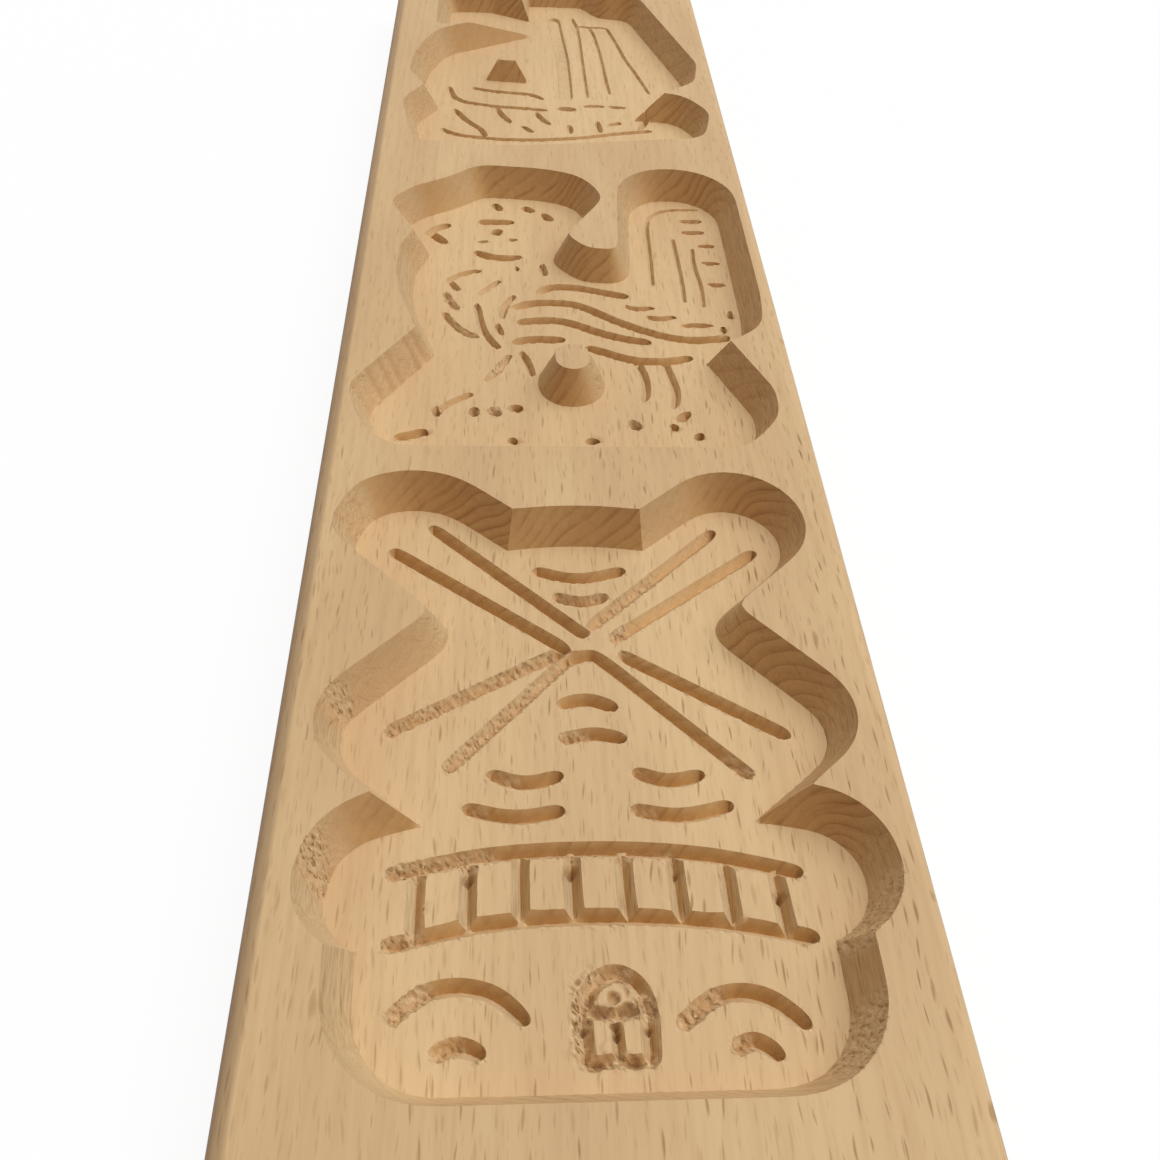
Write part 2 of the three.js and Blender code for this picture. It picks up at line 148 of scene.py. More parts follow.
# Torn stretches, in mm on the board: from x, y to x, y, how far to each side, and how badly
TORN = [
    (-43.3, -119.0, -40.3, -121.6, 2.1, 0.9), (-43.6, -147.1, -40.3, -152.5, 2.4, 1.0),
    (-5.8, -108.7, -32.1, -124.4, 1.3, 0.8), (-3.7, -111.5, -23.0, -131.8, 1.4, 0.9),
    (5.7, -100.1, 7.5, -105.9, 2.0, 0.9), (6.6, -98.1, 14.0, -90.9, 1.6, 0.8),
    (-4.1, -125.5, -0.7, -126.4, 1.5, 0.9), (-4.1, -94.3, 6.3, -94.3, 1.0, 0.6),
    (-15.0, -133.5, -12.0, -134.5, 1.0, 0.5), (-19.5, -139.6, -17.0, -140.3, 1.0, 0.5),
    (7.8, -133.0, 10.0, -134.5, 1.0, 0.5), (7.2, -139.9, 10.0, -141.0, 1.0, 0.5),
    (-30.3, -150.9, -16.1, -148.5, 1.4, 0.9), (-6.0, -148.4, 12.0, -148.2, 0.8, 0.8),
    (-30.7, -162.0, -26.6, -161.5, 1.6, 0.8), (-29.0, -160.0, -29.0, -152.0, 0.8, 0.5),
    (-2.0, -180.0, 6.5, -180.0, 1.5, 0.8), (-3.4, -178.5, -3.2, -168.0, 1.3, 1.0),
    (-2.0, -172.8, 6.5, -172.3, 1.8, 0.8), (0.5, -168.0, 3.5, -167.3, 1.2, 0.8),
    (-2.6, -167.6, -0.6, -166.6, 1.3, 1.0),
    (-28.6, -173.0, -25.0, -169.6, 1.5, 1.0), (-22.6, -178.0, -20.2, -177.0, 1.4, 0.8),
    (11.8, -174.2, 16.1, -171.0, 1.5, 1.0), (18.7, -178.0, 19.8, -177.4, 1.3, 0.8),
    (33.3, -183.1, 37.3, -176.5, 3.0, 0.8), (36.6, -164.0, 39.2, -164.1, 2.0, 0.8),
    (40.2, -161.6, 44.7, -156.9, 2.5, 0.6), (23.7, -131.1, 27.0, -133.5, 1.5, 0.6),
    (-29.0, 7.3, -21.8, -12.3, 2.0, 0.7), (-15.9, -21.8, -10.9, -31.9, 2.5, 1.0),
    (9.7, -41.2, 15.5, -44.6, 3.0, 0.9), (-18.0, -39.9, -14.0, -39.9, 2.0, 0.8),
    (4.8, 171.0, 4.3, 105.0, 1.6, 0.3),
]
TORN_ENDS = 1.6  # where a stretch has faded out, in times its reach to each side
FINER_FROM = 0.4  # squares that are torn more than this are halved once more

# The corners of the windmill's door, and the places where bits have come away, most of them in that
# door: x, y, half width, half length and depth in mm. A minus depth is a lump left standing.
DOOR_LEFT, DOOR_NEAR, DOOR_RIGHT, DOOR_FAR = -5, -182, 9.5, -164
BROKEN = [
    (-1.4, -171.0, 0.6, 1.2, 0.9), (-0.2, -172.5, 1.4, 0.7, 0.9), (1.9, -170.8, 1.1, 1.0, 1.1),
    (3.8, -172.3, 1.7, 0.9, 0.9), (3.8, -169.8, 0.3, 1.1, 0.4), (5.0, -169.4, 0.6, 0.4, -0.4),
    (6.0, -170.3, 0.9, 0.5, -0.6), (6.9, -171.0, 0.5, 0.4, -0.4), (5.6, -171.4, 0.8, 0.4, 0.7),
    (-2.5, -175.0, 0.6, 0.6, 1.0), (1.9, -174.6, 0.8, 0.7, 1.0), (2.1, -175.9, 0.6, 0.8, 1.2),
    (6.6, -175.1, 0.6, 0.6, 1.0), (-1.2, -180.2, 1.5, 0.9, 0.8), (4.4, -179.9, 1.5, 0.9, 0.7),
    (0.7, -177.8, 1.2, 1.1, -0.3), (1.7, -180.0, 0.6, 0.7, -0.6), (-1.9, -167.5, 0.8, 0.6, -0.4),
    (-3.4, -170.2, 0.7, 0.8, -0.4), (-3.7, -173.2, 0.7, 0.9, -0.4), (-4.0, -177.9, 0.6, 1.5, -0.3),
    (-3.2, -168.4, 0.5, 0.5, 0.6), (-3.9, -171.8, 0.4, 0.5, 0.5), (-3.6, -175.3, 0.5, 0.5, 0.6),
    (-18.9, -151.7, 1.0, 1.0, 1.3), (-3.5, -150.8, 1.0, 1.0, 1.3), (12.8, -151.4, 0.7, 0.7, 0.8),
    (28.2, -155.4, 0.9, 0.9, 1.1),
    (-28.2, -40.1, 1.3, 1.0, 0.6), (-20.6, -40.6, 1.1, 1.0, 0.5), (-15.8, -40.5, 1.4, 1.0, 0.6),
    (-11.0, -39.3, 1.6, 1.0, 0.6), (-30.4, -47.4, 1.8, 1.0, 0.5), (-11.6, -50.1, 1.4, 1.1, 0.5),
    (5.5, -49.5, 1.5, 1.1, 0.6), (14.7, -44.9, 1.6, 1.2, 0.6), (23.1, -45.7, 1.3, 1.0, 0.5),
    (24.9, -42.2, 1.5, 1.1, 0.5), (28.1, -48.2, 1.4, 1.1, 0.6), (40.8, -3.2, 1.1, 1.1, 0.5),
    (38.4, -8.8, 1.1, 1.1, 0.5), (-16.2, 33.4, 1.8, 1.1, 0.6), (4.5, 137.5, 2.8, 36.0, 0.12),
]


def kept(value):
    """The value, kept between 0 and 1."""
    return min(1, max(0, value))


def torn_at(place):
    """How badly the grain is torn at a place: 0 for clean wood, 1 at the worst."""
    x, y = place.x / MM, place.y / MM
    worst = 0
    for x0, y0, x1, y1, reach, badly in TORN:
        ends = TORN_ENDS * reach
        if (min(x0, x1) - ends < x < max(x0, x1) + ends
                and min(y0, y1) - ends < y < max(y0, y1) + ends):
            run, off = Vector((x1 - x0, y1 - y0)), Vector((x - x0, y - y0))
            share = kept(off.dot(run) / run.length_squared)
            worst = max(worst, badly * kept(TORN_ENDS - (off - share * run).length / reach))
    return worst


def in_door(place):
    return DOOR_LEFT < place.x / MM < DOOR_RIGHT and DOOR_NEAR < place.y / MM < DOOR_FAR


def needs_finer(face):
    middle = face.calc_center_median()
    return in_door(middle) or torn_at(middle) > FINER_FROM and is_cut(face)


divide({e for f in upper_faces() if needs_finer(f) for e in f.edges}, 1)

# The creases of the carving, as points close together
CREASE_STEP = 0.05 * MM
solid = bmesh.new()
solid.from_mesh(carving)
bmesh.ops.remove_doubles(solid, verts=solid.verts, dist=NOTHING / 10)
spots = []
for edge in solid.edges:
    a, b = (v.co for v in edge.verts)
    if edge.calc_face_angle(0) > SHARP and on_face(a) and on_face(b):
        count = max(1, round((a - b).length / CREASE_STEP))
        spots += [a.lerp(b, i / count) for i in range(count)]
solid.free()
creases = KDTree(len(spots))
for i, spot in enumerate(spots):
    creases.insert((spot.x, spot.y, 0), i)
creases.balance()

# Each corner drops onto the carving. Of an edge that crosses a crease, the nearer end moves to it.
corners = {v for f in upper_faces() for v in f.verts}
cuts = {v: cut_at(v.co.x, v.co.y) for v in corners if on_face(v.co)}


def crosses(a, b):
    """True where a crease lies between two corners."""
    (kind_a, _, normal_a), (kind_b, _, normal_b) = cuts[a], cuts[b]
    return kind_a != kind_b or normal_a.angle(normal_b) > SHARP


on_crease = {}
for edge in {e for v in cuts for e in v.link_edges}:
    a, b = edge.verts
    if a in cuts and b in cuts and crosses(a, b):
        near = [(creases.find((v.co.x, v.co.y, 0)), v) for v in (a, b)]
        (_, i, _), v = min(near, key=lambda found: found[0][2])
        on_crease[v] = spots[i]
for v, (kind, spot, normal) in cuts.items():
    v.co = on_crease.get(v, spot)
bmesh.ops.connect_verts(bm, verts=list(on_crease), check_degenerate=True)

# The chords of the bends are rounded off, first along the creases and then across the walls
ROUNDINGS = 12
ROUNDED_CREASE = 0.8 * SHARP
STRAIGHT = math.radians(140)  # a crease that bends more tightly than this is a corner, and stays
bm.normal_update()
beside = {}
for edge in bm.edges:
    if edge.calc_face_angle(0) > ROUNDED_CREASE:
        for v in edge.verts:
            if v in cuts:
                beside.setdefault(v, []).append(edge.other_vert(v))
bends = {v: others for v, others in beside.items() if len(others) == 2}
slopes = [v for v in cuts if cuts[v][0] in (WALL, LINE) and v not in beside]
for rounding in range(ROUNDINGS):
    moves = {}
    for v, (a, b) in bends.items():
        to_a, to_b = a.co - v.co, b.co - v.co
        if to_a.angle(to_b, 0) > STRAIGHT:
            moves[v] = v.co + (to_a + to_b) / 4
    for v, place in moves.items():
        v.co = place
for rounding in range(ROUNDINGS):
    bmesh.ops.smooth_vert(
        bm, verts=slopes, factor=0.5, use_axis_x=True, use_axis_y=True, use_axis_z=True,
    )

bm.normal_update()
for edge in bm.edges:
    edge.smooth = edge.calc_face_angle(0) < SHARP
for f in bm.faces:
    f.smooth = True

# Seven furrows run down the rooster's lower left wall, at these shares of its length
FURROWED = Vector((-45.8, -40.2)), Vector((-34.0, -16.8))
FURROWS = (0, 0.2, 0.355, 0.47, 0.715, 0.82, 0.955)
FURROWS_FROM, FURROWS_TO = -0.1, 1.05
FURROW_DEPTH, FURROW_HALF, FURROW_REACH = 0.45, 1.2, 5


def furrow_at(place):
    """Depth in mm of the furrows at a place."""
    start, run = FURROWED[0], FURROWED[1] - FURROWED[0]
    off = Vector((place.x, place.y)) / MM - start
    share = off.dot(run) / run.length_squared
    aside = (off - share * run).length
    if aside > FURROW_REACH or not FURROWS_FROM < share < FURROWS_TO:
        return 0
    nearest = min(abs(share - f) for f in FURROWS) * run.length
    return FURROW_DEPTH * max(0, 1 - nearest / FURROW_HALF)


def crosswise(x, y, z, size):
    """Noise in lumps of about this size in mm, which lie across lines that climb to the right."""
    return noise.noise(Vector(((x + y) / size[0], (x - y) / size[1], z / size[2])))


# The grain, in mm: every cut face is a little uneven, a torn one is rough, with pits deeper than
# its lumps are high, and the cutter leaves a ragged burr on the near rims of the lines
FLOOR_HEIGHT, FACE_HEIGHT = 12.5, 20
UNEVEN, RIM_UNEVEN, UNEVEN_SIZE, LENGTHWISE = 0.04, 0.15, 0.8, 1.5
PIT, PIT_SIZE, LUMP_TOP = 0.5, (0.8, 1.8, 1), 0.15
CRUMB, CRUMB_SIZE = 0.2, (0.5, 1.5, 0.8)
BURR, BURR_TURN, BURR_SHARE, BURR_VARIES = 0.15, 5, 0.45, 1.3
PATCH_SIZE, LEAST_PATCH = 2.7, 0.4  # torn grain comes in patches
CLEAN_DOOR, CLEAN_RIM = 0.55, 0.4  # the door's floor and the rims of the face are torn less
RAGGED, RAGGED_SIZE = 0.3, 0.7  # a broken bit's outline goes in and out by this share
STEEP_SIDES = 2.4
DARK_FROM = 0.5  # a pit this deep gets the darkest painted shade
for v, (kind, spot, normal) in cuts.items():
    near_line = kind in (WALL, LINE) or v in on_crease
    torn = torn_at(v.co)
    if not near_line:
        torn = max(0, torn - CLEAN_DOOR) if in_door(v.co) else 0
    if near_line or torn:
        x, y, z = v.co / MM
        patch = 0.5 + 0.5 * noise.noise(Vector((x, y, z)) / PATCH_SIZE)
        torn *= min(1, LEAST_PATCH + patch)
        uneven, burr = UNEVEN, 0
        if v in on_crease and z < FLOOR_HEIGHT + 0.5:
            uneven = RIM_UNEVEN
            others = (edge.other_vert(v) for edge in v.link_edges)
            beside_line = any(cuts[other][0] == LINE for other in others if other in cuts)
            if z > FLOOR_HEIGHT - 0.2 and beside_line:
                ragged = BURR_VARIES * noise.noise(Vector((x, y, 0)) / RAGGED_SIZE)
                burr = kept(BURR_TURN * v.normal.y) * kept(BURR_SHARE + ragged)
        pits = PIT * min(LUMP_TOP, crosswise(x, y, z, PIT_SIZE))
        crumbs = CRUMB * crosswise(x, y, z, CRUMB_SIZE)
        rough = torn * (CLEAN_RIM if v in on_crease and z > FACE_HEIGHT - 1 else 1)
        swell = uneven * noise.noise(Vector((x, y / LENGTHWISE, z)) / UNEVEN_SIZE)
        swell += rough * (pits + crumbs)
        if near_line:
            swell -= furrow_at(v.co)
        v[torn_layer] = max(torn, burr)
        v.co += v.normal * (swell + BURR * burr) * MM
    x, y, z = v.co / MM
    for at_x, at_y, half_width, half_length, depth in BROKEN:
        off_x, off_y = (x - at_x) / half_width, (y - at_y) / half_length
        if abs(off_x) < 1 + RAGGED and abs(off_y) < 1 + RAGGED:
            ragged = 1 + RAGGED * noise.noise(Vector((x, y, at_x)) / RAGGED_SIZE)
            share = math.hypot(off_x, off_y) / ragged
            if share < 1:
                come_away = min(1, STEEP_SIDES * (1 - share))
                v.co.z -= depth * MM * come_away
                # How deep the pit is, which sets its painted shade
                v[broken_layer] = max(v[broken_layer], come_away * min(1, depth / DARK_FROM))

mesh = bpy.data.meshes.new("mould_plank")
bm.to_mesh(mesh)
bm.free()
plank = bpy.data.objects.new("mould_plank", mesh)
bpy.context.scene.collection.objects.link(plank)
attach(plank, "root")
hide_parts("mould_board")


# The wood. Pale, even beech, left bare: growth rings that show on the end grain, short brown ray
# flecks that run with the grain on the face, and darker walls where the cutter has rubbed.
beech = bpy.data.materials.new("beech")
beech.use_nodes = True


def put(tree, kind, settings, inputs):
    """A node with its settings made and its inputs linked or set."""
    node = tree.nodes.new("ShaderNode" + kind)
    for name, value in settings.items():
        setattr(node, name, value)
    for name, value in inputs.items():
        if isinstance(value, bpy.types.NodeSocket):
            tree.links.new(value, node.inputs[name])
        else:
            node.inputs[name].default_value = value
    return node


def wood(kind, settings, inputs):
    return put(beech.node_tree, kind, settings, inputs)


def calc(operation, *values, clamp=False):
    settings = {"operation": operation, "use_clamp": clamp}
    return wood("Math", settings, dict(enumerate(values))).outputs[0]


def times(product, *values):
    for value in values:
        product = calc("MULTIPLY", product, value)
    return product


def spread(value, from_min, from_max, to_min=0, to_max=1):
    """A value that is brought from one range to another, and stays within it."""
    return wood("MapRange", {}, {
        "Value": value,
        "From Min": from_min, "From Max": from_max, "To Min": to_min, "To Max": to_max,
    }).outputs[0]


def parts(vector):
    """The x, y and z of a vector."""
    return wood("SeparateXYZ", {}, {0: vector}).outputs


def speckle(vector, size, detail=2, rough=0.5):
    """Noise whose lumps have the given size in mm along the rays, the grain and the rings."""
    scaled = wood("VectorMath", {"operation": "DIVIDE"}, {0: vector, 1: size}).outputs[0]
    return wood("TexNoise", {}, {
        "Vector": scaled, "Scale": 1, "Detail": detail, "Roughness": rough,
    }).outputs[0]


def linear(*color):
    """A colour as a screen shows it, 0 to 255, as the amounts of light that it stands for."""
    return (*(((c / 255 + 0.055) / 1.055) ** 2.4 for c in color), 1)


def mix(share, a, b, blend="MIX"):
    """Colour a, with as much of colour b as the share says."""
    settings = {"data_type": "RGBA", "blend_type": blend}
    return wood("Mix", settings, {0: share, 6: a, 7: b}).outputs[2]


def tint(share, color, shade):
    """A colour, multiplied by a shade as far as the share goes."""
    return mix(share, color, (*shade, 1), "MULTIPLY")


def in_mm(turned_by):
    """Places on the plank in mm, turned by an angle on each axis."""
    return wood("Mapping", {}, {
        "Vector": here.outputs["Object"], "Scale": (1 / MM,) * 3, "Rotation": turned_by,
    }).outputs[0]


# Inside the wood: x from the bark to the heart, y with the grain, z along the growth rings
RING_TILT = math.radians(-39.8)
here = wood("TexCoord", {}, {})
inside = in_mm((0, RING_TILT, 0))
normal_x, normal_y, normal_z = parts(here.outputs["Normal"])
place_x, place_y, place_z = parts(here.outputs["Object"])
end_grain = spread(times(normal_y, normal_y), 0.05, 0.6)
with_grain = calc("SUBTRACT", 1, end_grain)
towards_left = calc("MAXIMUM", times(normal_x, -1), 0)
towards_near = calc("MAXIMUM", times(normal_y, -1), 0)
towards_near = times(towards_near, calc("MULTIPLY_ADD", normal_x, -1.35, 1, clamp=True))
steep = spread(normal_z, 0.9, 0.62)
torn = wood("Attribute", {"attribute_name": "torn"}, {}).outputs["Fac"]
broken_depth = wood("Attribute", {"attribute_name": "broken_depth"}, {}).outputs["Fac"]
groove = spread(place_z, (FLOOR_HEIGHT - 0.1) * MM, (FLOOR_HEIGHT - 1.1) * MM)
fresh = spread(place_z, (FACE_HEIGHT - 0.5) * MM, (FLOOR_HEIGHT + 1.5) * MM)

# Growth rings, which waver and are plainer in some places than in others
RING, CLOSE_RING = 2.53, 1.518  # their widths on the far walls and on the walls that face left
RING_DRIFT, CLOSE_DRIFT = 16, 3  # how far in mm they waver
drift = speckle(inside, (30, 200, 30))
deep = calc("ADD", parts(inside)[0], times(drift, RING_DRIFT))
ring_ramp = wood("ValToRGB", {}, {0: calc("FRACT", calc("DIVIDE", deep, RING))})
stops = ring_ramp.color_ramp.elements
for stop in stops:
    stop.color = (0.1, 0.1, 0.1, 1)
for position, darkness in ((0.1, 0), (0.6, 0.2), (0.86, 1), (0.93, 0.9)):
    stops.new(position).color = (darkness, darkness, darkness, 1)
plainness = spread(speckle(inside, (5, 12, 5)), 0.35, 0.65, 0.25, 1)
uneven_deep = calc("ADD", deep, times(speckle(inside, (11, 90, 11), 0), CLOSE_DRIFT))
late_wood = calc("POWER", calc("FRACT", calc("DIVIDE", uneven_deep, CLOSE_RING)), 3)
faces_left = calc("MULTIPLY", towards_left, 2, clamp=True)
ring = mix(times(faces_left, 0.7), times(ring_ramp.outputs["Color"], plainness), late_wood)

# Ray flecks: thin spindles in the wood, one to each cell of a scatter
group = bpy.data.node_groups.new("ray_flecks", "ShaderNodeTree")
for name, kind, way in (
    ("Inside", "NodeSocketVector", "INPUT"), ("Cell", "NodeSocketVector", "INPUT"),
    ("Half size", "NodeSocketVector", "INPUT"), ("Fleck", "NodeSocketFloat", "OUTPUT"),
):
    group.interface.new_socket(name, in_out=way, socket_type=kind)


def fleck_calc(kind, operation, *values):
    return put(group, kind, {"operation": operation}, dict(enumerate(values))).outputs[0]


given = group.nodes.new("NodeGroupInput").outputs
scattered = fleck_calc("VectorMath", "DIVIDE", given["Inside"], given["Cell"])
cell = put(group, "TexVoronoi", {}, {"Vector": scattered, "Scale": 1, "Randomness": 1}).outputs
chance = put(group, "SeparateColor", {}, {0: cell["Color"]}).outputs
off = fleck_calc("VectorMath", "SUBTRACT", scattered, cell["Position"])
off_mm = fleck_calc("VectorMath", "MULTIPLY", off, given["Cell"])
size_share = put(group, "MapRange", {}, {"Value": chance[0], "To Min": 0.45, "To Max": 1})
half_size = put(group, "VectorMath", {"operation": "SCALE"}, {
    0: given["Half size"], "Scale": size_share.outputs[0],
})
axis_x, axis_y, axis_z = put(group, "SeparateXYZ", {}, {
    0: fleck_calc("VectorMath", "DIVIDE", off_mm, half_size.outputs[0]),
}).outputs
square_x, square_y = (fleck_calc("Math", "MULTIPLY", axis, axis) for axis in (axis_x, axis_y))
round_part = fleck_calc("Math", "ADD", square_x, square_y)
from_middle = fleck_calc("Math", "ADD", round_part, fleck_calc("Math", "ABSOLUTE", axis_z))
shape = put(group, "MapRange", {}, {"Value": from_middle, "From Min": 1.25, "From Max": 0.35})
strength = put(group, "MapRange", {}, {"Value": chance[1], "To Min": 0.25, "To Max": 1})
fleck = fleck_calc("Math", "MULTIPLY", shape.outputs[0], strength.outputs[0])
group.links.new(fleck, group.nodes.new("NodeGroupOutput").inputs["Fleck"])

# The rays aren't quite straight, and the flecks show most with the grain, on the right and near end
WANDER = 1.5
wander = times(calc("SUBTRACT", speckle(inside, (4, 14, 4), 1), 0.5), WANDER)
wandering = wood("CombineXYZ", {}, {"Z": wander}).outputs[0]
bent = wood("VectorMath", {"operation": "ADD"}, {0: inside, 1: wandering}).outputs[0]


def flecks(cell_size, half_size):
    """Flecks in cells, with both sizes in mm along the rays, the grain and the rings."""
    sizes = {"Inside": bent, "Cell": cell_size, "Half size": half_size}
    return wood("Group", {"node_tree": group}, sizes).outputs[0]


bold_flecks = flecks((6, 5.2, 1.05), (3.4, 2.5, 0.17))
faint_flecks = flecks((4, 4.1, 0.75), (2.2, 2, 0.17))
to_the_right = spread(place_x, -45 * MM, 45 * MM, 0.6, 1)
to_the_near = spread(place_y, 40 * MM, -60 * MM, 0.5, 1)
plain_to_see = times(with_grain, to_the_near)

# Fine fibres, slow changes of tone, pores, and the shreds and loose bits of torn places
fibres = speckle(inside, (0.3, 7, 0.3), 3, 0.6)
streaks = speckle(inside, (1.2, 16, 1.2))
tone = speckle(inside, (22, 90, 22))
pores = speckle(inside, (0.16, 2, 0.16))
across = in_mm((0, 0, math.radians(45)))
shreds = speckle(across, (2.4, 0.55, 1.2), 2, 0.6)
bits = speckle(across, (0.45, 0.3, 0.4), 1)

# The wood's own colour
DULL_BEECH, FAIR_BEECH = linear(198, 163, 119), linear(208, 175, 129)
PALE_FIBRE, DARK_FIBRE = linear(222, 196, 158), linear(150, 110, 70)
STREAK, DARK_RING, PORE = linear(178, 138, 96), linear(142, 96, 58), linear(120, 80, 48)
FAINT_FLECK, BOLD_FLECK = (0.7, 0.62, 0.5), (0.5, 0.4, 0.26)
color = mix(spread(tone, 0.35, 0.65), DULL_BEECH, FAIR_BEECH)
color = mix(times(spread(fibres, 0.3, 0.7), 0.1), color, PALE_FIBRE)
color = mix(times(spread(fibres, 0.55, 0.35), steep, with_grain, 0.45), color, DARK_FIBRE)
color = mix(times(spread(streaks, 0.45, 0.7), 0.22), color, STREAK)
ring_strength = times(spread(end_grain, 0, 1, 0.08, 0.45), spread(groove, 0, 1, 1, 0.5))
# Rings show stronger on walls that face left: real grain, darkened further as painted shade
ring_strength = times(ring_strength, calc("MULTIPLY_ADD", normal_x, -2, 1))
ring_strength = calc("MAXIMUM", ring_strength, 0.08)
color = mix(times(ring, ring_strength), color, DARK_RING)
color = tint(times(faint_flecks, plain_to_see, 0.5), color, FAINT_FLECK)
color = tint(times(bold_flecks, plain_to_see, to_the_right), color, BOLD_FLECK)
pore_strength = spread(normal_x, 0.1, 0.5, 0.35, 0.1)
color = mix(times(spread(pores, 0.55, 0.75), end_grain, pore_strength), color, PORE)

# The floors of the hollows are fresher than the face. Walls and lines that face left or towards
# the near end get painted shade, darker and browner, warmer still on end grain that faces the near
# end. Walls and lines that face the near right, and walls that face right, get painted light.
FRESH_FLOOR, WARM_SHADE = (1.06, 1.075, 1.075), (1, 0.93, 0.8)
LIT_WALL, LIT_LINE, LIT_RIGHT_WALL = (1.07, 1.08, 1.09), (1.12, 1.12, 1.12), (0.98, 1.06, 1.14)
SHADED_WALL, SHADED_LINE = (0.82, 0.68, 0.5), (0.82, 0.74, 0.6)
LEFT_SHADE, NEAR_SHADE = 0.56, 0.76  # how strongly walls that face each way get painted shade
diagonal = times(normal_x, normal_y)
lit_near_right = times(steep, calc("MULTIPLY", diagonal, -3, clamp=True), spread(normal_y, 0, -0.2))
towards_right = calc("MULTIPLY", normal_x, 1.5, clamp=True)
shade_share = calc("ADD", times(towards_left, LEFT_SHADE), times(towards_near, NEAR_SHADE), clamp=True)
line_shade_share = calc("MULTIPLY_ADD", diagonal, 2, 1, clamp=True)
left_or_near = spread(calc("ADD", towards_near, towards_left), 0, 0.5)
color = tint(fresh, color, FRESH_FLOOR)
# Painted light: walls and lines that face the near right are made paler
color = tint(lit_near_right, color, LIT_WALL)
color = tint(times(lit_near_right, groove), color, LIT_LINE)
# Painted light: walls that face right are made paler and less brown
color = tint(times(steep, towards_right, spread(normal_y, -0.2, 0)), color, LIT_RIGHT_WALL)
# Warmer painted shade on end grain that faces the near end
color = tint(times(end_grain, spread(towards_near, 0, 0.3)), color, WARM_SHADE)
# Painted shade on walls and lines that face left or towards the near end
color = tint(times(steep, shade_share), color, SHADED_WALL)
color = tint(times(groove, steep, line_shade_share, left_or_near), color, SHADED_LINE)

# Torn grain is pale, with painted shade in its gaps and painted light on its raised shreds, and
# the places where bits came away get painted shade
TORN_WOOD, BROKEN_PIT_SHADE = linear(208, 174, 130), linear(146, 108, 66)
TORN_GAP_SHADE, TORN_RIDGE_LIGHT, LOOSE_BIT = linear(132, 96, 56), linear(228, 200, 158), linear(236, 210, 168)
color = mix(times(torn, 0.75), color, TORN_WOOD)
# Painted shade in the gaps between shreds and painted light on their raised ends, as the bump draws
# them
color = mix(times(torn, spread(shreds, 0.54, 0.64, 0, 0.95)), color, TORN_GAP_SHADE)
color = mix(times(torn, spread(shreds, 0.42, 0.34, 0, 0.5)), color, TORN_RIDGE_LIGHT)
color = mix(times(torn, spread(bits, 0.63, 0.69, 0, 0.5)), color, LOOSE_BIT)
# Painted shade in the pits where bits came away, darker the deeper they are
color = mix(times(broken_depth, 0.45), color, BROKEN_PIT_SHADE)

# Painted shade greys the upper rounding along the left edge and the left side, which face away from
# the light
LEFT_EDGE_SHADE_TOP, LEFT_EDGE_SHADE_SIDE = (0.7, 0.68, 0.68), (0.83, 0.93, 1.2)
on_left_edge = calc("LESS_THAN", place_x, low.x + EDGE_RADIUS)
shaded_left_edge = times(on_left_edge, spread(place_z, 16 * MM, 17.5 * MM))
color = tint(times(shaded_left_edge, spread(normal_x, -0.02, -0.25)), color, LEFT_EDGE_SHADE_TOP)
color = tint(times(shaded_left_edge, spread(normal_x, -0.7, -0.95)), color, LEFT_EDGE_SHADE_SIDE)

# Fibres stand up, and flecks and shreds lie deeper, in mm
FLECK_DEPTH, SHRED_DEPTH = 0.008, 0.2
fibre_relief = times(fibres, spread(end_grain, 0, 1, 0.012, 0.004))
shred_relief = times(shreds, spread(torn, 0, 1, 0.03, 1), -SHRED_DEPTH)
relief = calc("ADD", fibre_relief, times(bold_flecks, -FLECK_DEPTH))
relief = calc("ADD", relief, shred_relief)
bump = wood("Bump", {}, {"Height": relief, "Distance": MM, "Strength": 1})

finish = beech.node_tree.nodes["Principled BSDF"]
finish.inputs["Specular IOR Level"].default_value = 0.3
dullness = spread(fibres, 0.3, 0.7, 0.56, 0.68)
for name, value in (("Base Color", color), ("Roughness", dullness), ("Normal", bump.outputs[0])):
    beech.node_tree.links.new(value, finish.inputs[name])
mesh.materials.append(beech)


# The set. A white table under one large soft light, in a white room. The table keeps the plank's
# shadow, and the room behind it shows as plain white.
TABLE_SIZE, CLEARANCE = 6, 0.1 * MM
PAINT_WHITE, TABLE_GLOW, ROOM_LIGHT = 0.92, 0.9, 0.37
LIGHT_STRENGTH, LIGHT_WIDTH = 0.707 * math.pi, math.radians(60)
LIGHT_FROM = Vector((0.41, 0.235, 1))


def seen_directly(tree):
    """1 for what is seen straight, in a gloss or through glass, and 0 for light on the plank."""
    rays = put(tree, "LightPath", {}, {}).outputs
    seen = rays["Is Camera Ray"]
    for other in ("Is Glossy Ray", "Is Transmission Ray"):
        seen = put(tree, "Math", {"operation": "MAXIMUM"}, {0: seen, 1: rays[other]}).outputs[0]
    return seen


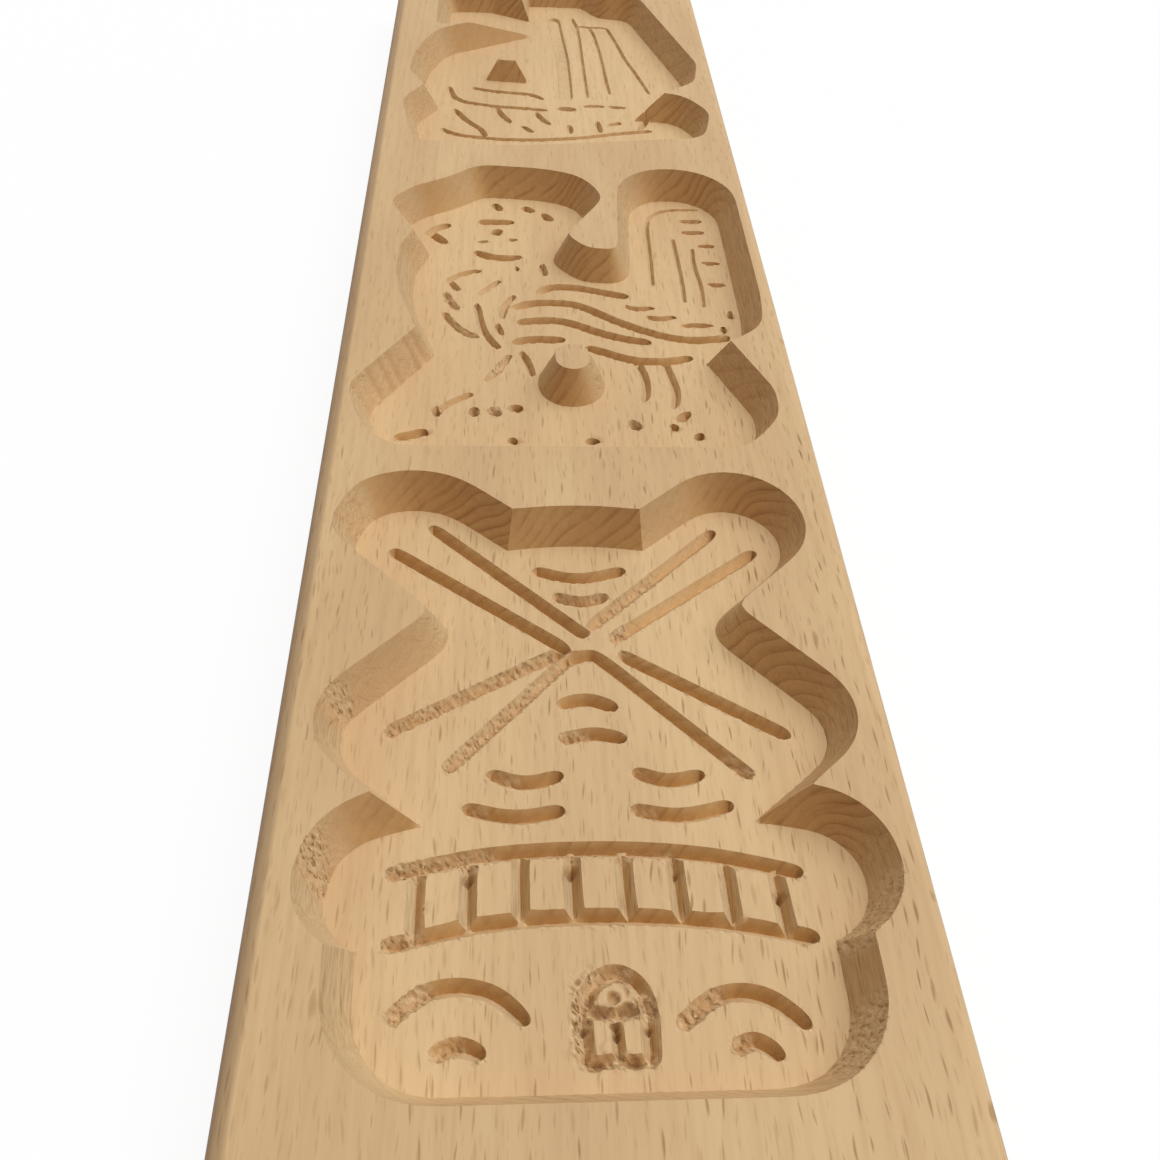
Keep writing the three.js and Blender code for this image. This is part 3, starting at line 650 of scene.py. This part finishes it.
bpy.ops.mesh.primitive_plane_add(size=TABLE_SIZE, location=(0, 0, -CLEARANCE))
table = bpy.context.object
table.name = "table"
white = bpy.data.materials.new("table_white")
white.use_nodes = True
tree = white.node_tree
paint = tree.nodes["Principled BSDF"]
paint.inputs["Base Color"].default_value = (PAINT_WHITE, PAINT_WHITE, PAINT_WHITE, 1)
glow = put(tree, "Emission", {}, {"Color": (1, 1, 1, 1), "Strength": 1})
share = put(tree, "Math", {"operation": "MULTIPLY"}, {0: seen_directly(tree), 1: TABLE_GLOW})
blend = put(tree, "MixShader", {}, {
    0: share.outputs[0], 1: paint.outputs[0], 2: glow.outputs[0],
})
tree.links.new(blend.outputs[0], tree.nodes["Material Output"].inputs["Surface"])
table.data.materials.append(white)

light = bpy.data.lights.new("overhead", "SUN")
light.energy, light.angle = LIGHT_STRENGTH, LIGHT_WIDTH
lamp = bpy.data.objects.new("overhead", light)
lamp.rotation_mode = "QUATERNION"
lamp.rotation_quaternion = LIGHT_FROM.to_track_quat("Z", "Y")
bpy.context.scene.collection.objects.link(lamp)

room = bpy.data.worlds.new("studio")
room.use_nodes = True
bpy.context.scene.world = room
background = room.node_tree.nodes["Background"]
background.inputs["Color"].default_value = (1, 1, 1, 1)
brightness = put(room.node_tree, "MapRange", {}, {
    "Value": seen_directly(room.node_tree), "To Min": ROOM_LIGHT, "To Max": 1,
})
room.node_tree.links.new(brightness.outputs[0], background.inputs["Strength"])


# The camera. It stands before the plank's near end, 171 mm above the table, and looks along the
# plank and down, so that both of its ends lie just outside the picture.
EYE = (-12.75 * MM, -238.98 * MM, 171.47 * MM)
FORWARD = Vector((0.06109, 0.68217, -0.72864))
UP = Vector((0, 0.73000, 0.68344))
camera = bpy.data.cameras.new("camera")
camera.lens, camera.sensor_width = 36, 36
camera.clip_start = 10 * MM
eye = bpy.data.objects.new("camera", camera)
eye.location = EYE
right = FORWARD.cross(UP).normalized()
eye.rotation_euler = Matrix((right, right.cross(FORWARD), -FORWARD)).transposed().to_euler()
bpy.context.scene.collection.objects.link(eye)
bpy.context.scene.camera = eye
bpy.context.scene.view_settings.view_transform = "Standard"
